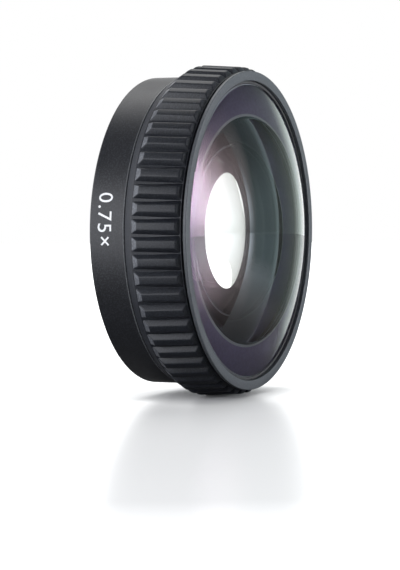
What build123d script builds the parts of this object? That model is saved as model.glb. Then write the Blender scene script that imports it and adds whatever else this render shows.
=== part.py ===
"""Wide-angle conversion lens for a small action camera, as an assembly of separate pieces.

All lengths are millimetres. The optical axis is the Y axis and the front glass looks along -Y.
A station is a distance forward of the rear mounting plane, so a station s lies at y = -s.
The origin is where the optical axis meets the rear mounting plane.
"""

from build123d import *
import os
from math import cos, radians, sin, sqrt, tan

os.makedirs("parts", exist_ok=True)

# Camera interface at the rear
register_radius = 16.5
flange_thickness = 1.25
lug_count = 4
lug_height = 1.5
lug_thickness = 1.0
lug_angle = 40.0
index_hole_radius = 0.8
index_hole_depth = 0.9
index_hole_angle = 45.0
lock_travel = 45.0

# Clearances
running_clearance = 0.05
seat_clearance = 0.02
turning_gap = 0.1

# Walls of the rear half, from the camera's boss outwards
lock_relief = 0.4
lock_wall = 1.0
sleeve_wall = 1.55
shoulder_height = 1.0
flange_lip = 0.6
nose_step = 0.7
cell_gap = 0.9
cell_collar_wall = 2.8

# Barrel
band_length = 4.95
band_edge_fillet = 0.3
seam_chamfer = 0.12
web_thickness = 0.95

# Grip ring
collar_rise = 0.85
collar_length = 1.25
grip_taper = 0.35
grip_wall = 0.5
grip_bearing_length = 1.8
grip_mouth_chamfer = 0.15
rib_count = 60
rib_height = 0.65
rib_crest_width = 1.0
rib_flank_width = 0.4
rib_setback = 0.15
rib_rear_chamfer = 0.95
rib_front_chamfer = 0.35

# Drive from the grip ring to the lock ring
drive_screw_count = 3
drive_screw_radius = 0.6
drive_screw_setback = 1.05
drive_screw_edge = 0.3
drive_screw_first_angle = 30.0
drive_screw_bite = 0.8
drive_screw_inset = 0.15
drive_hex_width = 0.7
drive_hex_depth = 0.5

# Detent
detent_ball_radius = 0.55
detent_depth = 0.25
detent_pocket_depth = 0.1
detent_angle = 67.5
detent_leaf_thickness = 0.25
detent_leaf_width = 0.9
detent_leaf_angle = 50.0
detent_leaf_end_angle = 0.5

# Glide washer
glide_thickness = 0.25

# Front bezel and seal
bezel_wall = 0.6
bezel_face_width = 1.25
bezel_flange_thickness = 0.45
bezel_front_gap = 0.3
bezel_edge_chamfer = 0.08
seal_width = 0.45
seal_recess = 0.45
seat_web_thickness = 0.45
shield_thickness = 0.1
shield_edge = 0.1

# Front element
glass_recess = 0.4
glass_bevel = 0.12
front_edge_thickness = 4.55
front_curve = 48.0
land_width = 5.5
bowl_curve = 31.0
bowl_bevel = 0.15

# Lens cell
cell_flange_thickness = 0.3
cell_flange_edge = 0.2
cell_collar_gap = 0.1
cell_seat_gap = 0.1
cell_web_thickness = 0.6
cell_stop_step = 1.3
cell_rear_chamfer = 0.4

# Second element
second_ring_thickness = 0.4
second_ring_width = 0.7
second_ring_cone = 0.35
second_edge_thickness = 1.75
second_centre_thickness = 0.56
second_front_curve = 40.0
second_land_width = 2.6
second_bevel = 0.1

# Third and fourth elements, cemented together
rear_group_step = 3.3
rear_rim_width = 0.6
third_edge_thickness = 0.6
third_curve = 30.0
cement_curve = 60.0
fourth_edge_thickness = 0.9
rear_bevel = 0.1
rear_ring_width = 0.9
rear_ring_thickness = 0.45
rear_ring_cone = 0.3

# Small fasteners and seal of the rear flange
flange_screw_count = 4
flange_screw_radius = 0.5
flange_screw_head_radius = 0.9
flange_screw_length = 2.3
flange_countersink_angle = 90.0
flange_screw_wall = 0.35
flange_recess_width = 0.5
flange_recess_depth = 0.3
gasket_wall = 0.45
gasket_width = 0.6
gasket_depth = 0.5

# Radii that follow, rear half
lug_radius = register_radius - lug_height
lock_bore = register_radius + lock_relief
lock_radius = lock_bore + lock_wall
cavity_radius = lock_radius + running_clearance
sleeve_radius = cavity_radius + sleeve_wall
barrel_radius = sleeve_radius + shoulder_height
flange_radius = barrel_radius - flange_lip
cell_radius = lock_bore - cell_gap
nose_radius = sleeve_radius - nose_step
flange_screw_circle = cavity_radius + flange_screw_wall + flange_screw_radius
gasket_inner = register_radius + gasket_wall

# Radii that follow, front half
grip_bore = sleeve_radius + running_clearance
root_rear = barrel_radius + collar_rise
root_front = root_rear - grip_taper
grip_cup = root_front - grip_wall
skirt_radius = grip_cup - running_clearance
bezel_opening = skirt_radius - bezel_wall
bezel_radius = bezel_opening + bezel_face_width
glass_radius = bezel_opening - seal_width
bowl_radius = glass_radius - land_width
seat_opening = cell_radius + cell_seat_gap
second_radius = cell_radius - cell_collar_wall
second_clear = second_radius - second_ring_width
second_bowl_radius = second_radius - second_land_width
rear_group_radius = second_radius - rear_group_step
rear_clear = rear_group_radius - rear_rim_width
cell_stop_radius = rear_clear - cell_stop_step

# Stations that follow
lock_rear = flange_thickness + turning_gap
grip_rear = band_length + turning_gap
drive_station = grip_rear + drive_screw_setback
lock_front = drive_station + drive_screw_radius + drive_screw_edge
web_station = lock_front + turning_gap
nose_station = web_station + web_thickness
grip_shoulder = grip_rear + grip_bearing_length
skirt_station = grip_shoulder + running_clearance + glide_thickness
seat_station = nose_station + cell_flange_thickness
shield_station = seat_station + seat_web_thickness
land_station = shield_station + shield_thickness
glass_rim = land_station + front_edge_thickness
bezel_face = glass_rim + glass_recess
bezel_underside = bezel_face - bezel_flange_thickness
grip_front = bezel_underside - bezel_front_gap
second_rim = shield_station - cell_collar_gap - second_ring_thickness
second_land = second_rim - second_edge_thickness
rear_group_front = second_land - cell_web_thickness
cement_rim = rear_group_front - third_edge_thickness
rear_group_rear = cement_rim - fourth_edge_thickness
cell_rear = rear_group_rear - rear_ring_thickness

# Detent radii that follow
ball_centre = lock_radius - detent_depth + detent_ball_radius + seat_clearance
leaf_inner = ball_centre + detent_ball_radius + seat_clearance
leaf_outer = leaf_inner + detent_leaf_thickness


def half_section():
    """The plane of every half section: x is the station, y the radius."""
    return Plane(origin=(0, 0, 0), x_dir=(0, -1, 0), z_dir=(-1, 0, 0))


def cross_plane(station, angle=0.0):
    """A plane across the axis that extrudes forwards, with its x axis turned to an angle."""
    x_dir = (cos(radians(angle)), 0, sin(radians(angle)))
    return Plane(origin=(0, -station, 0), x_dir=x_dir, z_dir=(0, -1, 0))


def radial_plane(angle, station, radius):
    """A plane that faces outwards at an angle, counted from +X towards +Z."""
    outward = Vector(cos(radians(angle)), 0, sin(radians(angle)))
    return Plane(origin=outward * radius - Vector(0, station, 0), x_dir=(0, -1, 0), z_dir=outward)


def polar(radius, angle):
    """The X and Z of a point at a radius and angle."""
    return radius * cos(radians(angle)), radius * sin(radians(angle))


def even_angles(count, first=0.0):
    """Angles of evenly spaced copies round the axis."""
    return [first + 360.0 * copy / count for copy in range(count)]


def turned(*corners):
    """Half section of a turned piece from its (station, radius) corners."""
    with BuildSketch(half_section()) as section:
        with BuildLine():
            Polyline(*corners, close=True)
        make_face()
    return section.sketch


def ring(bore, radius, rear, front):
    """Half section of a plain ring."""
    return turned((rear, bore), (rear, radius), (front, radius), (front, bore))


def sector(plane, inner, outer, span):
    """A piece of a flat ring, centred on the plane's x axis."""
    with BuildSketch(plane) as piece:
        with BuildLine():
            outside = CenterArc((0, 0), outer, -span / 2, span)
            inside = CenterArc((0, 0), inner, -span / 2, span)
            Line(outside @ 0, inside @ 0)
            Line(outside @ 1, inside @ 1)
        make_face()
    return piece.sketch


def disc(plane, radius, centre=(0, 0)):
    """A round sketch on a plane."""
    with BuildSketch(plane) as shape:
        with Locations(centre):
            Circle(radius)
    return shape.sketch


def hexagon(plane, width_across_flats, centre=(0, 0)):
    """A hexagonal sketch on a plane."""
    with BuildSketch(plane) as shape:
        with Locations(centre):
            RegularPolygon(width_across_flats / 2, 6, major_radius=False)
    return shape.sketch


def sag(curve, height):
    """Depth of a spherical surface between its apex and a height off the axis."""
    return curve - sqrt(curve * curve - height * height)


def rims(part, station, radius):
    """The circular edges of a turned part at one station and radius."""
    near = 0.001
    return [
        edge
        for edge in part.edges().filter_by(GeomType.CIRCLE)
        if abs(edge.radius - radius) < near and abs(edge.arc_center.Y + station) < near
    ]


def dome(curve, edge_station, edge_radius):
    """An arc from the axis to an edge, bulging forwards, in the half section plane."""
    apex = edge_station + sag(curve, edge_radius)
    middle_radius = edge_radius / 2
    middle = (apex - sag(curve, middle_radius), middle_radius)
    return ThreePointArc((apex, 0), middle, (edge_station, edge_radius))


def save(part, name):
    """Labels a finished piece and writes it as a STEP file of the same name."""
    part.label = name
    export_step(part, f"parts/{name}.step")


# Main barrel: a smooth band at the rear, a bearing sleeve under the grip ring and a threaded nose
slot_radius = drive_screw_radius + running_clearance
barrel_wall_cut = sleeve_wall + 2 * turning_gap
with BuildPart() as main_barrel:
    revolve(
        turned(
            (0, flange_radius + seat_clearance),
            (0, barrel_radius),
            (band_length, barrel_radius),
            (band_length, sleeve_radius),
            (skirt_station, sleeve_radius),
            (skirt_station, nose_radius),
            (nose_station, nose_radius),
            (nose_station, cell_radius + seat_clearance),
            (web_station, cell_radius + seat_clearance),
            (web_station, cavity_radius),
            (flange_thickness, cavity_radius),
            (flange_thickness, flange_radius + seat_clearance),
        ),
        axis=Axis.Y,
    )
    fillet(rims(main_barrel, 0, barrel_radius), band_edge_fillet)
    chamfer(rims(main_barrel, band_length, barrel_radius), seam_chamfer)
    for angle in even_angles(drive_screw_count, drive_screw_first_angle):
        for end in (angle, angle - lock_travel):
            extrude(
                disc(radial_plane(end, drive_station, cavity_radius - turning_gap), slot_radius),
                amount=barrel_wall_cut,
                mode=Mode.SUBTRACT,
            )
        extrude(
            sector(
                cross_plane(drive_station - slot_radius, angle - lock_travel / 2),
                cavity_radius - turning_gap,
                sleeve_radius + turning_gap,
                lock_travel,
            ),
            amount=2 * slot_radius,
            mode=Mode.SUBTRACT,
        )
    ball_hole = detent_ball_radius + seat_clearance
    extrude(
        disc(radial_plane(detent_angle, drive_station, cavity_radius - turning_gap), ball_hole),
        amount=barrel_wall_cut,
        mode=Mode.SUBTRACT,
    )
    leaf_slot_width = detent_leaf_width + 2 * running_clearance
    extrude(
        sector(
            cross_plane(drive_station - leaf_slot_width / 2, detent_angle),
            leaf_inner - seat_clearance,
            sleeve_radius + turning_gap,
            detent_leaf_angle + 2 * detent_leaf_end_angle,
        ),
        amount=leaf_slot_width,
        mode=Mode.SUBTRACT,
    )
    for angle in even_angles(flange_screw_count):
        centre = polar(flange_screw_circle, angle)
        extrude(
            disc(cross_plane(flange_thickness), flange_screw_radius + seat_clearance, centre),
            amount=flange_screw_length - flange_thickness + turning_gap,
            mode=Mode.SUBTRACT,
        )
save(main_barrel.part, "main_barrel")

# Height of a countersunk head
half_countersink = flange_countersink_angle / 2
head_height = (flange_screw_head_radius - flange_screw_radius) / tan(radians(half_countersink))

# Mount flange: the plate that seats on the camera, with the register bore for the camera's boss
with BuildPart() as mount_flange:
    revolve(ring(register_radius, flange_radius, 0, flange_thickness), axis=Axis.Y)
    revolve(
        ring(gasket_inner, gasket_inner + gasket_width, 0, gasket_depth),
        axis=Axis.Y,
        mode=Mode.SUBTRACT,
    )
    for angle in even_angles(flange_screw_count):
        centre = polar(flange_screw_circle, angle)
        extrude(
            disc(cross_plane(0), flange_screw_radius + seat_clearance, centre),
            amount=flange_thickness,
            mode=Mode.SUBTRACT,
        )
        extrude(
            disc(cross_plane(0), flange_screw_head_radius + seat_clearance, centre),
            amount=head_height,
            taper=half_countersink,
            mode=Mode.SUBTRACT,
        )
    index_circle = (gasket_inner + gasket_width + flange_radius) / 2
    extrude(
        disc(cross_plane(0), index_hole_radius, polar(index_circle, index_hole_angle)),
        amount=index_hole_depth,
        mode=Mode.SUBTRACT,
    )
save(mount_flange.part, "mount_flange")

# Flange screws: four countersunk screws with hexagonal recesses
with BuildPart() as flange_screws:
    for angle in even_angles(flange_screw_count):
        centre = polar(flange_screw_circle, angle)
        extrude(disc(cross_plane(0), flange_screw_radius, centre), amount=flange_screw_length)
        extrude(
            disc(cross_plane(0), flange_screw_head_radius, centre),
            amount=head_height,
            taper=half_countersink,
        )
        extrude(
            hexagon(cross_plane(0), flange_recess_width, centre),
            amount=flange_recess_depth,
            mode=Mode.SUBTRACT,
        )
save(flange_screws.part, "flange_screws")

# Rear gasket: the seal round the camera's boss, drawn as it lies when it is pressed flush
with BuildPart() as rear_gasket:
    revolve(
        ring(gasket_inner + seat_clearance, gasket_inner + gasket_width - seat_clearance, 0, gasket_depth),
        axis=Axis.Y,
    )
save(rear_gasket.part, "rear_gasket")

# Lock ring: turns with the grip ring and draws the camera's lugs against the flange
with BuildPart() as lock_ring:
    revolve(ring(lock_bore, lock_radius, lock_rear, lock_front), axis=Axis.Y)
    lug_root = (lock_bore + lock_radius) / 2
    for angle in even_angles(lug_count):
        extrude(
            sector(cross_plane(lock_rear, angle), lug_radius, lug_root, lug_angle),
            amount=lug_thickness,
        )
    for angle in even_angles(drive_screw_count, drive_screw_first_angle):
        extrude(
            disc(radial_plane(angle, drive_station, lug_radius), drive_screw_radius + seat_clearance),
            amount=cavity_radius - lug_radius,
            mode=Mode.SUBTRACT,
        )
    with BuildSketch(half_section()) as detent_groove:
        with Locations((drive_station, ball_centre)):
            Circle(detent_ball_radius + seat_clearance)
    revolve(detent_groove.sketch, axis=Axis.Y, mode=Mode.SUBTRACT)
    for angle in (detent_angle, detent_angle + lock_travel):
        pocket = radial_plane(angle, drive_station, ball_centre - detent_pocket_depth).origin
        with Locations(pocket):
            Sphere(detent_ball_radius + seat_clearance, mode=Mode.SUBTRACT)
save(lock_ring.part, "lock_ring")

# Detent ball: rides in the lock ring's groove and drops into a pocket at each end of the travel
with BuildPart() as detent_ball:
    with Locations(radial_plane(detent_angle, drive_station, ball_centre).origin):
        Sphere(detent_ball_radius)
save(detent_ball.part, "detent_ball")

# Detent leaf: a short bowed spring in a pocket of the sleeve, which presses on the ball
with BuildPart() as detent_leaf:
    extrude(
        sector(
            cross_plane(drive_station - detent_leaf_width / 2, detent_angle),
            leaf_inner,
            leaf_outer,
            detent_leaf_angle,
        ),
        amount=detent_leaf_width,
    )
save(detent_leaf.part, "detent_leaf")

# Drive screws: headless screws from the lock ring through the barrel's slots into the grip ring
screw_inner = lock_bore + drive_screw_inset
screw_outer = grip_bore + drive_screw_bite
with BuildPart() as drive_screws:
    for angle in even_angles(drive_screw_count, drive_screw_first_angle):
        inner_end = radial_plane(angle, drive_station, screw_inner)
        extrude(disc(inner_end, drive_screw_radius), amount=screw_outer - screw_inner)
        extrude(hexagon(inner_end, drive_hex_width), amount=drive_hex_depth, mode=Mode.SUBTRACT)
save(drive_screws.part, "drive_screws")


def grip_envelope():
    """Half section of the ribs' crests, from the collar to the front end."""
    rib_start = grip_rear + collar_length + rib_setback
    overlap = grip_wall / 2
    return turned(
        (rib_start, root_rear - overlap),
        (rib_start, root_rear),
        (rib_start + rib_rear_chamfer, root_rear + rib_height),
        (grip_front - rib_front_chamfer, root_front + rib_height),
        (grip_front, root_front),
        (grip_front, root_front - overlap),
    )


# Grip ribs: trapezoid bars all round, trimmed by the envelope of their crests
with BuildPart() as grip_ribs:
    crest_height = root_rear + rib_height
    foot_height = root_front - grip_wall / 2
    slope = rib_flank_width / rib_height
    base_half = rib_crest_width / 2 + slope * (crest_height - foot_height)
    tip_height = crest_height + rib_height
    tip_half = rib_crest_width / 2 - rib_flank_width
    with BuildSketch(cross_plane(grip_rear)) as rib_bars:
        with PolarLocations(0, rib_count, start_angle=180 / rib_count):
            Polygon(
                (foot_height, -base_half),
                (tip_height, -tip_half),
                (tip_height, tip_half),
                (foot_height, base_half),
                align=None,
            )
    extrude(rib_bars.sketch, amount=grip_front - grip_rear)
    revolve(grip_envelope(), axis=Axis.Y, mode=Mode.INTERSECT)

# Grip ring: a conical collar, 60 ribs, a bearing land at the rear and a wide cup at the front
with BuildPart() as grip_ring:
    revolve(
        turned(
            (grip_rear, grip_bore),
            (grip_rear, barrel_radius),
            (grip_rear + collar_length, root_rear),
            (grip_front, root_front),
            (grip_front, grip_cup),
            (grip_shoulder, grip_cup),
            (grip_shoulder, grip_bore),
        ),
        axis=Axis.Y,
    )
    chamfer(rims(grip_ring, grip_rear, barrel_radius), seam_chamfer)
    chamfer(rims(grip_ring, grip_rear, grip_bore), grip_mouth_chamfer)
    add(grip_ribs.part)
    for angle in even_angles(drive_screw_count, drive_screw_first_angle):
        extrude(
            disc(radial_plane(angle, drive_station, sleeve_radius), drive_screw_radius + seat_clearance),
            amount=screw_outer + seat_clearance - sleeve_radius,
            mode=Mode.SUBTRACT,
        )
save(grip_ring.part, "grip_ring")

# Glide washer: takes the grip ring's thrust against the bezel's skirt
with BuildPart() as glide_washer:
    revolve(
        ring(
            sleeve_radius + seat_clearance,
            grip_cup - running_clearance,
            skirt_station - glide_thickness,
            skirt_station,
        ),
        axis=Axis.Y,
    )
save(glide_washer.part, "glide_washer")

# Front bezel: a flat-faced ring whose body holds the front element and screws onto the nose
with BuildPart() as front_bezel:
    revolve(
        turned(
            (skirt_station, nose_radius + seat_clearance),
            (skirt_station, skirt_radius),
            (bezel_underside, skirt_radius),
            (bezel_underside, bezel_radius),
            (bezel_face, bezel_radius),
            (bezel_face, bezel_opening),
            (shield_station, bezel_opening),
            (shield_station, seat_opening),
            (seat_station, seat_opening),
            (seat_station, nose_radius + seat_clearance),
        ),
        axis=Axis.Y,
    )
    chamfer(rims(front_bezel, bezel_face, bezel_radius), bezel_edge_chamfer)
    chamfer(rims(front_bezel, bezel_face, bezel_opening), bezel_edge_chamfer)
    chamfer(rims(front_bezel, bezel_underside, bezel_radius), bezel_edge_chamfer)
save(front_bezel.part, "front_bezel")

# Front light shield: a thin black ring behind the land of the front element
with BuildPart() as front_shield:
    revolve(ring(bowl_radius, glass_radius - shield_edge, shield_station, land_station), axis=Axis.Y)
save(front_shield.part, "front_shield")

# Front seal: fills the gap between the front element and the bezel
with BuildPart() as front_seal:
    revolve(
        ring(
            glass_radius + seat_clearance,
            bezel_opening - seat_clearance,
            shield_station,
            bezel_face - seal_recess,
        ),
        axis=Axis.Y,
    )
save(front_seal.part, "front_seal")

# Front element: a thick meniscus, domed in front, with a flat land round a shallow bowl behind
with BuildPart() as front_element:
    with BuildSketch(half_section()):
        with BuildLine():
            outer = dome(front_curve, glass_rim, glass_radius)
            bowl = dome(bowl_curve, land_station, bowl_radius)
            Line(outer @ 1, (land_station, glass_radius))
            Line((land_station, glass_radius), bowl @ 1)
            Line(bowl @ 0, outer @ 0)
        make_face()
    revolve(axis=Axis.Y)
    chamfer(rims(front_element, glass_rim, glass_radius), glass_bevel)
    chamfer(rims(front_element, land_station, bowl_radius), bowl_bevel)
save(front_element.part, "front_element")

# Lens cell: carries the inner elements, and the sharp edge of its web is the aperture
collar_front = shield_station - cell_collar_gap
with BuildPart() as lens_cell:
    revolve(
        turned(
            (cell_rear, rear_group_radius + seat_clearance),
            (cell_rear, cell_radius),
            (nose_station, cell_radius),
            (nose_station, nose_radius - cell_flange_edge),
            (seat_station, nose_radius - cell_flange_edge),
            (seat_station, cell_radius),
            (collar_front, cell_radius),
            (collar_front, second_radius + seat_clearance),
            (second_land, second_radius + seat_clearance),
            (second_land, cell_stop_radius),
            (rear_group_front, rear_clear),
            (rear_group_front, rear_group_radius + seat_clearance),
        ),
        axis=Axis.Y,
    )
    chamfer(rims(lens_cell, cell_rear, cell_radius), cell_rear_chamfer)
save(lens_cell.part, "lens_cell")

# Second element: a meniscus that nests in the bowl of the front element
second_apex = second_rim + sag(second_front_curve, second_clear)
second_bowl_depth = second_apex - second_centre_thickness - second_land
second_bowl_curve = (second_bowl_radius**2 + second_bowl_depth**2) / (2 * second_bowl_depth)
with BuildPart() as second_element:
    with BuildSketch(half_section()):
        with BuildLine():
            outer = dome(second_front_curve, second_rim, second_clear)
            bowl = dome(second_bowl_curve, second_land, second_bowl_radius)
            Polyline(
                outer @ 1,
                (second_rim, second_radius),
                (second_land, second_radius),
                bowl @ 1,
            )
            Line(bowl @ 0, outer @ 0)
        make_face()
    revolve(axis=Axis.Y)
    chamfer(rims(second_element, second_land, second_bowl_radius), second_bevel)
save(second_element.part, "second_element")

# Second retaining ring: screws into the cell's collar over the rim of the second element
with BuildPart() as second_retaining_ring:
    revolve(
        turned(
            (second_rim, second_clear),
            (second_rim, second_radius),
            (collar_front, second_radius),
            (collar_front, second_clear + second_ring_cone),
        ),
        axis=Axis.Y,
    )
save(second_retaining_ring.part, "second_retaining_ring")

# Third element: the front half of the cemented pair
with BuildPart() as third_element:
    with BuildSketch(half_section()):
        with BuildLine():
            outer = dome(third_curve, rear_group_front, rear_clear)
            cement = dome(cement_curve, cement_rim, rear_group_radius)
            Polyline(outer @ 1, (rear_group_front, rear_group_radius), cement @ 1)
            Line(cement @ 0, outer @ 0)
        make_face()
    revolve(axis=Axis.Y)
save(third_element.part, "third_element")

# Fourth element: the rear half of the cemented pair, with a flat rear face
with BuildPart() as fourth_element:
    with BuildSketch(half_section()):
        with BuildLine():
            cement = dome(cement_curve, cement_rim, rear_group_radius)
            Polyline(
                cement @ 1,
                (rear_group_rear, rear_group_radius),
                (rear_group_rear, 0),
                cement @ 0,
            )
        make_face()
    revolve(axis=Axis.Y)
    chamfer(rims(fourth_element, rear_group_rear, rear_group_radius), rear_bevel)
save(fourth_element.part, "fourth_element")

# Rear retaining ring: holds the cemented pair from the rear
rear_ring_bore = rear_group_radius - rear_ring_width
with BuildPart() as rear_retaining_ring:
    revolve(
        turned(
            (cell_rear, rear_ring_bore + rear_ring_cone),
            (cell_rear, rear_group_radius),
            (rear_group_rear, rear_group_radius),
            (rear_group_rear, rear_ring_bore),
        ),
        axis=Axis.Y,
    )
save(rear_retaining_ring.part, "rear_retaining_ring")
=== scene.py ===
"""Looks of the wide-angle conversion lens: smooth turned metal, a ribbed grip ring and coated glass.

Lengths below are in millimetres, apart from those marked as metres, and are turned into metres as
they are used. A station is a distance forward of the rear mounting plane, so a station s lies at
y = -s, and a radius is a distance from the optical axis, which is the Y axis.
"""

from math import acos, asin, atan2, cos, pi, radians, sin, sqrt, tan

import bpy
from mathutils import Matrix, Vector


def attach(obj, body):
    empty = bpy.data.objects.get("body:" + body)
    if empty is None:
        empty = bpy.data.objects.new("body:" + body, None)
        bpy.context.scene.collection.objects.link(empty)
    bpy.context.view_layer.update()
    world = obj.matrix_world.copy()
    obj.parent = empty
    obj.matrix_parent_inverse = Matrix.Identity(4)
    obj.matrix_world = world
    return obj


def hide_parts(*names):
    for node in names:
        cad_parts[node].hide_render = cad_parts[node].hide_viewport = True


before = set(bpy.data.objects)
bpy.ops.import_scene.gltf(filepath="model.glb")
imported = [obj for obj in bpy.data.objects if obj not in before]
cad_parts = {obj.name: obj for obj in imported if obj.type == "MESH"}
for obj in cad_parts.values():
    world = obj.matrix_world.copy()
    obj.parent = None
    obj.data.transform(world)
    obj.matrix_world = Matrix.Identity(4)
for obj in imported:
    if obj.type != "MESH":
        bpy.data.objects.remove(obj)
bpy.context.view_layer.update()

MM = 0.001
SPIN_STEPS = 360
ARC_STEPS = 40
ROUNDING_STEPS = 4
MERGE = 1e-7  # metres
OVERSHOOT = 0.1  # how far a cutter reaches past what it cuts

# Camera, fitted to the photograph's ellipses: millimetres and degrees
VIEW_AZIMUTH = -65.33
VIEW_ELEVATION = 3.02
VIEW_ROLL = -0.44
VIEW_DISTANCE = 300.0
VIEW_RIGHT = 5.53
VIEW_UP = -7.40
PIXELS_PER_MM = 7.40
IMAGE_HEIGHT = 570
SENSOR = 36.0

# Measures of the real pieces, as the model has them. Angles are in degrees, counted as point() does
BARREL_RADIUS = 20.5
FLANGE_RADIUS = 19.9
SLEEVE_RADIUS = 19.5
NOSE_RADIUS = 18.8
CAVITY_RADIUS = 17.95
CELL_RADIUS = 16.0
BAND_FRONT = 4.95
WEB_STATION = 7.1
SKIRT_STATION = 7.15
NOSE_STATION = 8.05
SEAT_STATION = 8.35
SHIELD_STATION = 8.8
LAND_STATION = 8.9
GLASS_RIM = 13.45
GLASS_RADIUS = 19.4
BOWL_RADIUS = 13.9
BEZEL_FACE = 13.85
BEZEL_UNDERSIDE = 13.4
BEZEL_OPENING = 19.85
BEZEL_RADIUS = 21.1
GRIP_REAR = 5.05
GRIP_FRONT = 13.1
GRIP_BORE = 19.55
GRIP_CUP = 20.5
GRIP_SHOULDER = 6.85
COLLAR_FRONT = 6.3
ROOT_REAR = 21.35
ROOT_FRONT = 21.0
RIB_HEIGHT = 0.65
RIB_COUNT = 60
SECOND_RIM = 8.3
SECOND_LAND = 6.55
SECOND_RADIUS = 13.2
SECOND_CLEAR = 12.5
SECOND_BOWL = 10.6
REAR_GROUP_FRONT = 5.95
REAR_GROUP_REAR = 4.45
REAR_GROUP_RADIUS = 9.9
REAR_CLEAR = 9.3
STOP_RADIUS = 8.0
CELL_REAR = 4.0

FLANGE_THICKNESS = 1.25
REGISTER_RADIUS = 16.5
GASKET_INNER = 16.95
GASKET_OUTER = 17.55
GASKET_DEPTH = 0.5
FLANGE_SCREW_CIRCLE = 18.8
FLANGE_SCREW_ANGLES = (0, 90, 180, 270)
LOCK_REAR = 1.35
LOCK_FRONT = 7.0
LOCK_BORE = 16.9
LOCK_RADIUS = 17.9
LUG_RADIUS = 15.0
LUG_THICKNESS = 1.0
LUG_ANGLE = 40
LUG_ANGLES = (0, 90, 180, 270)
LOCK_TRAVEL = 45
DRIVE_ANGLES = (30, 150, 270)
DRIVE_STATION = 6.1
SLOT_HALF = 0.65
DETENT_BALL = 0.55
DETENT_ANGLE = 67.5
DETENT_CENTRE = 18.22
POCKET_DEPTH = 0.1
LEAF_INNER = 18.79
LEAF_SLOT_HALF = 0.5
LEAF_SLOT_ANGLE = 51.0
FLANGE_SCREW_LENGTH = 2.3
FLANGE_SCREW_RADIUS = 0.5
SCREW_HEAD_RADIUS = 0.9
SCREW_HEAD_DEPTH = 0.4
SCREW_HEAD_OVERLAP = 0.01
SCREW_HOLE_RADIUS = 0.52
COUNTERSINK_RADIUS = 1.02
HEX_RADIUS = 0.29
HEX_DEPTH = 0.3
INDEX_RADIUS = 0.8
INDEX_DEPTH = 0.9
INDEX_CIRCLE = 18.725
INDEX_ANGLE = 45
DRIVE_HOLE_RADIUS = 0.62
DRIVE_CUT_REACH = 1
SPANNER_RADIUS = 0.22
SPANNER_CIRCLE = 9.62
SPANNER_DEPTH = 0.3
SPANNER_ANGLES = (0, 180)
LUG_OVERLAP = 0.5
CELL_CHAMFER = 0.4
CELL_COLLAR_SETBACK = 0.2
SECOND_RING_FLARE = 0.35
REAR_RING_FLARE = 0.3
REAR_GROUP_BEVEL = 0.1
SHIELD_MARGIN = 0.1
SHIELD_GAP = 0.01
SEAT_GAP = 0.02
SKIRT_RADIUS = 20.45
SEAT_OPENING = 16.1
SEAL_FRONT = 13.4
COLLAR_END = 8.7
RIB_SETBACK = 0.15
RIB_ROOT = 0.25
RIB_CREST_WIDTH = 1.0
RIB_FLANK_WIDTH = 0.4
RIB_REAR_CHAMFER = 0.95
RIB_FRONT_CHAMFER = 0.5
RIB_SOFTENING = 0.15
REAR_RING_BORE = 9.0
FRONT_CURVE = 48.0
BOWL_CURVE = 31.0
SECOND_CURVE = 40.0
SECOND_BOWL_CURVE = 19.2
REAR_CURVE = 30.0
GLASS_BEVEL = 0.12
BOWL_BEVEL = 0.15
SECOND_BEVEL = 0.1

# Where a second finish, a painted highlight or painted highlight lines go: limits on the share of a
# face's normal that lies along the axis, and margins, widths and stations in millimetres
FACES_AXIS = 0.99
NOT_ACROSS_AXIS = 0.9
HIGHLIGHT_SLOPE = 0.4
ALONG_AXIS = 0.01
MARGIN = 0.1
FINE_MARGIN = 0.01
BRIGHT_EDGE_WIDTH = 0.15
EDGE_LINES = (10.55, 12.0)
EDGE_LINE_HALF = 0.05

# Print: a figure is as tall as this share of its text size, and twice PRINT_HALF thick
CAP_SHARE = 0.65
PRINT_HEIGHT = 1.8
PRINT_STATION = 2.1
PRINT_ANGLE = 174.6
PRINT_SPACING = 1.12
PRINT_HALF = 0.012

# Floor and studio, with the shares of them that are held back from light inside the glass
FLOOR = -21.99
FLOOR_RADIUS = 0.6  # metres
CONTACT_SHADOW = 4.5
BOX_LEVEL = 31.0
SIDE_LEVEL = 4.5
FLOOR_HELD_BACK = 0.7
ROOM_HELD_BACK = 0.82
BOXES_HELD_BACK = 0.85
LAMP_AZIMUTH = 115
LAMP_ELEVATION = 62
LAMP_DISTANCE = 0.5  # metres
LAMP_SIDES = (0.4, 0.3)  # metres
LAMP_POWER = 1.1


class Value:
    """A shader value. Arithmetic on it adds Math nodes to its tree."""

    def __init__(self, tree, socket):
        self.tree = tree
        self.socket = socket

    def _math(self, operation, first, second=0.0):
        return self.tree.node("ShaderNodeMath", {0: first, 1: second}, operation=operation)

    def __add__(self, other):
        return self._math("ADD", self, other)

    __radd__ = __add__

    def __sub__(self, other):
        return self._math("SUBTRACT", self, other)

    def __rsub__(self, other):
        return self._math("SUBTRACT", other, self)

    def __mul__(self, other):
        return self._math("MULTIPLY", self, other)

    __rmul__ = __mul__

    def __gt__(self, other):
        return self._math("GREATER_THAN", self, other)

    def __lt__(self, other):
        return self._math("LESS_THAN", self, other)


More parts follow.
